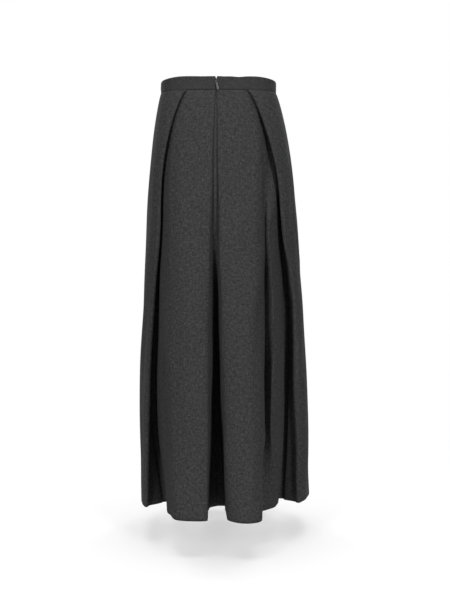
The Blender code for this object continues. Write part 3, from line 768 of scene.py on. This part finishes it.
def dress_band(look):
    """The waistband: two layers over stiffening, with soft edges and a slit at the back."""
    ring = ring_at(WAIST_SEAM)
    drops = [BAND_SOFT * (1 - math.cos(math.radians(angle))) for angle in (0, 30, 60, 90)]
    drops += list(np.linspace(BAND_SOFT, BAND_HEIGHT - BAND_SOFT / 2, BAND_ROWS)[1:])
    drops += [BAND_HEIGHT - BAND_SOFT / 6, BAND_HEIGHT]
    outer, inner = [], []
    for drop in drops:
        top = max(0.0, 1 - drop / BAND_SOFT)
        foot = max(0.0, 1 - (BAND_HEIGHT - drop) / (BAND_SOFT / 2))
        into = BAND_SOFT * (1 - math.sqrt(1 - top ** 2)) + BAND_FOOT_IN * foot ** 2
        opening = max(0.0, 1 - drop / NOTCH_DEPTH) * (NOTCH_HALF_WIDTH - SLIT_HALF_WIDTH)
        clear = math.degrees((SLIT_HALF_WIDTH + opening) / ring["back"])
        turns = np.linspace(CENTRE_BACK + clear, CENTRE_BACK + 360 - clear, BAND_STEPS + 1)
        dip = BAND_SIDE_DIP * np.sin(np.radians(turns)) ** 4
        for centre, half, depth in BAND_DIPS:
            away = (turns - centre + 180) % 360 - 180
            dip = dip + depth / 1000 * bell(away, half)
        height = TOP_Z - drop - dip * (1 - drop / BAND_HEIGHT)
        ends = np.minimum(turns - turns[0], turns[-1] - turns)
        turned_in = BAND_END_IN * bell(ends, BAND_END_HALF)
        uneven = sum(high * np.sin(np.radians(turns * around + drop * down))
                     for high, around, down in BAND_RIPPLES)
        face = CLOTH / 2 + BAND_PROUD + uneven * math.sin(math.pi * drop / BAND_HEIGHT)
        back = CLOTH / 2 + BAND_PROUD - BAND_WALL + into
        for grid, depth in ((outer, face - into - turned_in), (inner, back)):
            grid.append(np.column_stack((plan_points(ring, turns, depth), height)))
    outer, inner = np.array(outer), np.array(inner)
    band = shell("waistband_cloth", (outer + inner) / 2, outer - inner, 1.0, look)
    return placed(band, "skirt", "waistband")


def zip_line(drop):
    """Where the zip runs at a drop: the seam's place across and the depth of the tapes."""
    around = whole_section(max(drop, WAIST_SEAM))[0]
    seam = around[0]
    near = (around[:, 1] < 0) & (np.abs(around[:, 0] - seam[0]) < TAPE_WIDTH)
    return seam[0], around[near, 1].max() + TAPE_SET_IN


def dress_tapes(look):
    """Two woven tapes behind the back seam, each a thin strip."""
    drops = np.linspace(TAPE_TOP, ZIP_END, TAPE_ROWS)
    line_down = [zip_line(drop) for drop in drops]
    made = []
    for name, side in (("zip_tape_left", -1), ("zip_tape_right", 1)):
        reach = np.linspace(TAPE_EDGE, TAPE_WIDTH, TAPE_COLUMNS)
        grid = np.array([[(x + side * out, y, TOP_Z - drop) for out in reach]
                         for drop, (x, y) in zip(drops, line_down)])
        square = np.zeros_like(grid)
        square[..., 1] = -1.0
        tape = shell(f"{name}_woven", grid, square, TAPE_THICK, look)
        made.append(placed(tape, "skirt", name))
    return made


def join_rings(builder, rings):
    """Faces from each ring of corners to the next one."""
    for ring, following in zip(rings, rings[1:]):
        for index in range(len(ring)):
            after = (index + 1) % len(ring)
            builder.faces.new((ring[index], ring[after], following[after], following[index]))


def tube(builder, path, radius, sides):
    """A round tube along a path of points, with closed ends."""
    path = np.asarray(path)
    ahead = np.gradient(path, axis=0)
    ahead /= np.linalg.norm(ahead, axis=1, keepdims=True)
    first = np.cross(ahead, np.broadcast_to((0.0, 0.0, 1.0), path.shape))
    first /= np.linalg.norm(first, axis=1, keepdims=True)
    second = np.cross(ahead, first)
    rings = []
    for centre, one, other in zip(path, first, second):
        rings.append([builder.verts.new(centre + radius * (one * math.cos(turn)
                                                           + other * math.sin(turn)))
                      for turn in np.linspace(0, math.tau, sides, endpoint=False)])
    join_rings(builder, rings)
    builder.faces.new(rings[0])
    builder.faces.new(rings[-1])


def finished(name, builder, look, body, node=None):
    """Turns a builder into a piece with its edges over 45 degrees left sharp."""
    bmesh.ops.recalc_face_normals(builder, faces=builder.faces)
    mesh = bpy.data.meshes.new(name)
    builder.to_mesh(mesh)
    builder.free()
    made = linked_object(name, mesh, look)
    mesh.set_sharp_from_angle(angle=math.radians(45))
    return placed(made, body, node)


def dress_coil(look):
    """The closed coil on the inner side of the tapes: two interlocked spirals."""
    builder = bmesh.new()
    turns = round((COIL_FOOT - COIL_TOP) / COIL_PITCH)
    steps = turns * COIL_TURN_STEPS
    for side in (-1, 1):
        path = []
        for step in range(steps + 1):
            drop = COIL_TOP + (COIL_FOOT - COIL_TOP) * step / steps + side * COIL_PITCH / 4
            angle = math.tau * turns * step / steps
            path.append((side * (COIL_APART + COIL_HALF_WIDTH * math.cos(angle)),
                         COIL_HALF_DEPTH * math.sin(angle), TOP_Z - drop))
        places = [zip_line(TOP_Z - point[2]) for point in path[::COIL_GUIDE]]
        places.append(zip_line(COIL_FOOT))
        knots = [*range(0, len(path), COIL_GUIDE), len(path) + COIL_GUIDE]
        across = np.interp(range(len(path)), knots, [place[0] for place in places])
        deep = np.interp(range(len(path)), knots, [place[1] for place in places])
        path = np.array(path)
        path[:, 0] += across
        path[:, 1] += deep + TAPE_THICK / 2 + COIL_HALF_DEPTH + COIL_WIRE
        tube(builder, path, COIL_WIRE, COIL_SIDES)
    return finished("zip_coil", builder, look, "skirt")


def hinge_point():
    """Where the pull tab hangs from the slider's eye."""
    ring = ring_at(WAIST_SEAM)
    across, back = plan_points(ring, CENTRE_BACK, CLOTH / 2 + BAND_PROUD + HINGE_PROUD)
    return Vector((across, back, TOP_Z - SLIDER_DROP))


def soft_box(builder, centre, size, bevel, narrow=1.0):
    """A box with rounded edges, whose foot may be narrower than its top."""
    made = bmesh.ops.create_cube(builder, size=1.0)
    corners = made["verts"]
    for corner in corners:
        width = size[0] * (narrow if corner.co.z < 0 else 1.0)
        corner.co = Vector((corner.co.x * width, corner.co.y * size[1],
                            corner.co.z * size[2])) + Vector(centre)
    edges = list({edge for corner in corners for edge in corner.link_edges})
    bmesh.ops.bevel(builder, geom=edges, offset=bevel, segments=3, profile=0.5,
                    affect="EDGES")


def dress_slider(look):
    """The slider: a body behind the tapes, a stem through the slit, and the eye's ring."""
    hinge = hinge_point()
    front = zip_line(WAIST_SEAM)[1] + TAPE_WALL / 2 + SEAM_GAP
    builder = bmesh.new()
    soft_box(builder, (hinge.x, front + SLIDER_DEPTH / 2, hinge.z),
             (SLIDER_WIDTH, SLIDER_DEPTH, SLIDER_HEIGHT), SLIDER_BEVEL, SLIDER_NARROW)
    ring_back = hinge.y + EYE_DEEP
    stem_middle = (front + ring_back + STEM_INTO_BODY - STEM_INTO_EYE) / 2
    stem_long = front - ring_back + STEM_INTO_BODY + STEM_INTO_EYE
    soft_box(builder, (hinge.x, stem_middle, hinge.z), (ARCH_WIDTH, stem_long, STEM_HEIGHT),
             STEM_BEVEL)
    rings = []
    for turn in np.linspace(0, math.tau, EYE_STEPS, endpoint=False):
        centre = hinge + Vector((0.0, EYE_DEEP * math.cos(turn), EYE_HIGH * math.sin(turn)))
        away = Vector((0.0, math.cos(turn), math.sin(turn)))
        rings.append([builder.verts.new(centre + away * EYE_WIRE * math.sin(angle)
                                        + Vector((EYE_WIRE * math.cos(angle), 0.0, 0.0)))
                      for angle in np.linspace(0, math.tau, EYE_SIDES, endpoint=False)])
    join_rings(builder, [*rings, rings[0]])
    return finished("zip_slider_body", builder, look, "skirt", "zip_slider")


def pull_outline():
    """The tab's edge and its window's edge, with a point on one for each on the other."""
    end_centre = -PULL_LENGTH + PULL_END_HALF
    right = [(0.0, PULL_THICK / 2), (PULL_TOP_HALF * 0.75, PULL_THICK / 2),
             (PULL_TOP_HALF, 0.0), (PULL_TOP_HALF, -WINDOW_HEIGHT - PULL_THICK)]
    for turn in np.linspace(0, 90, PULL_STEPS + 1):
        angle = math.radians(turn)
        right.append((PULL_END_HALF * math.cos(angle),
                      end_centre - PULL_END_HALF * math.sin(angle)))
    top, bottom = -PULL_THICK / 2, -PULL_THICK / 2 - WINDOW_HEIGHT
    window_right = [(0.0, top), (WINDOW_HALF_WIDTH * 0.7, top),
                    (WINDOW_HALF_WIDTH, top - WINDOW_CORNER),
                    (WINDOW_HALF_WIDTH, bottom + WINDOW_CORNER)]
    for part in np.linspace(0.8, 0.0, PULL_STEPS + 1):
        window_right.append((WINDOW_HALF_WIDTH * part, bottom))
    return [np.array(half + [(-x, z) for x, z in reversed(half[1:-1])])
            for half in (right, window_right)]


def dress_pull(look):
    """The pull tab: a plate with a window, rounded edges and a hollow in its inner face."""
    outline, window = pull_outline()
    towards = window - outline
    reach = np.linalg.norm(towards, axis=1, keepdims=True)
    towards = towards / reach
    half = PULL_THICK / 2
    quarter_in, quarter_deep = 0.00006, 0.00014     # a point halfway round the rounded edge
    window_deep = half - WINDOW_BEVEL_DEEP
    hollow_share = 0.45         # the hollow is deepest at this share of the way to the window
    still = towards * 0
    # Each loop: the edge it is measured from, the way it moves from it, how far, and its depth.
    loops = [(outline, towards, PULL_EDGE, half),
             (outline, towards, quarter_in, half - quarter_deep),
             (outline, still, 0.0, half - PULL_EDGE_DEEP),
             (outline, still, 0.0, PULL_EDGE_DEEP - half),
             (outline, towards, quarter_in, quarter_deep - half),
             (outline, towards, PULL_EDGE, -half),
             (outline, towards, hollow_share * reach, -half + PULL_HOLLOW),
             (window, -towards, WINDOW_BEVEL, -half), (window, still, 0.0, -window_deep),
             (window, still, 0.0, window_deep), (window, -towards, WINDOW_BEVEL, half)]
    most = reach * 0.3          # where the plate is narrow, a bevel takes no more than this
    lean = math.radians(PULL_LEAN)
    hinge = hinge_point()
    builder = bmesh.new()
    rings = []
    for edge, way, inset, depth in loops:
        step = np.minimum(inset, most) if np.isscalar(inset) else inset
        ring = []
        for x, z in edge + way * step:
            turned = (x * math.cos(lean) - z * math.sin(lean),
                      x * math.sin(lean) + z * math.cos(lean))
            ring.append(builder.verts.new((hinge.x + turned[0], hinge.y - depth,
                                           hinge.z + turned[1])))
        rings.append(ring)
    join_rings(builder, [*rings, rings[0]])
    return finished("zip_pull_tab", builder, look, "pull_tab", "zip_pull")


def camera():
    """The camera at the photograph's place."""
    eye = bpy.data.cameras.new("camera")
    eye.sensor_fit = "AUTO"
    eye.sensor_width = SENSOR
    eye.lens = FOCAL_PIXELS * SENSOR / IMAGE_HEIGHT
    eye.shift_x = SHIFT_PIXELS / IMAGE_HEIGHT
    made = bpy.data.objects.new("camera", eye)
    made.location = CAMERA_PLACE
    made.rotation_euler = (math.radians(90 - CAMERA_DOWN), 0.0, 0.0)
    bpy.context.collection.objects.link(made)
    bpy.context.scene.camera = made


def surroundings():
    """White where the camera sees them, and a dim even glow on the skirt."""
    world = bpy.data.worlds.new("studio")
    world.use_nodes = True
    tree = world.node_tree
    glow = tree.nodes["Background"]
    wire(tree, glow, {"Color": WHITE, "Strength": AMBIENT})
    seen = add(tree, "ShaderNodeBackground", "seen as plain white",
               {"Color": WHITE, "Strength": 1.0})
    path = add(tree, "ShaderNodeLightPath", "kind of ray")
    either = add(tree, "ShaderNodeMixShader", "white where it is seen",
                 {"Fac": path.outputs["Is Camera Ray"], 1: glow.outputs["Background"],
                  2: seen.outputs["Background"]})
    wire(tree, tree.nodes["World Output"], {"Surface": either.outputs["Shader"]})
    bpy.context.scene.world = world


def lamps():
    """Soft lamps at both sides of the back and the front, and one above."""
    for name, place, aim, size, power in LAMPS:
        lamp = bpy.data.lights.new(name, "AREA")
        lamp.shape = "RECTANGLE"
        lamp.size, lamp.size_y = size
        lamp.energy = power
        light = bpy.data.objects.new(name, lamp)
        light.location = place
        way = Vector(aim) - Vector(place)
        light.rotation_euler = way.to_track_quat("-Z", "Y").to_euler()
        bpy.context.collection.objects.link(light)


def floor():
    """A plain pale disc that fades into the white surroundings."""
    mesh = bpy.data.meshes.new("floor")
    builder = bmesh.new()
    bmesh.ops.create_circle(builder, cap_ends=True, segments=FLOOR_SIDES,
                            radius=FLOOR_RADIUS)
    builder.to_mesh(mesh)
    builder.free()
    look, tree, shader = new_look("studio_floor", FLOOR_COLOUR, Roughness=0.9,
                                  Specular_IOR_Level=0.0)
    place = add(tree, "ShaderNodeTexCoord", "place on the floor").outputs["Object"]
    reach = add(tree, "ShaderNodeVectorMath", "distance out", {0: place},
                operation="LENGTH").outputs["Value"]
    fade = add(tree, "ShaderNodeMapRange", "fade",
               {"Value": reach, "From Min": FLOOR_RADIUS * 0.15,
                "From Max": FLOOR_RADIUS * 0.95, "To Min": FLOOR_STRENGTH, "To Max": 0.0},
               interpolation_type="SMOOTHSTEP")
    wire(tree, shader, {"Alpha": fade.outputs["Result"]})
    made = linked_object("floor", mesh, look)
    made.location = (0.0, 0.0, TOP_Z - LENGTH - FLOOR_DROP)


bpy.context.scene.view_settings.view_transform = "Standard"
camera()
surroundings()
lamps()
floor()
flannel = flannel_look("grey_flannel")
tape_cloth = tape_look("black_woven_tape")
coil_nylon = hard_look("black_nylon", NYLON, 0.45, 0.0, 900.0, 0.00004)
enamel = hard_look("dark_grey_enamel", ENAMEL, 0.38, 0.55, 600.0, 0.00005)
band = dress_band(flannel_look("grey_flannel_band", contrast=0.5))
panels = dress_panels(flannel)
tapes = dress_tapes(tape_cloth)
coil = dress_coil(coil_nylon)
dress_slider(enamel)
dress_pull(enamel)
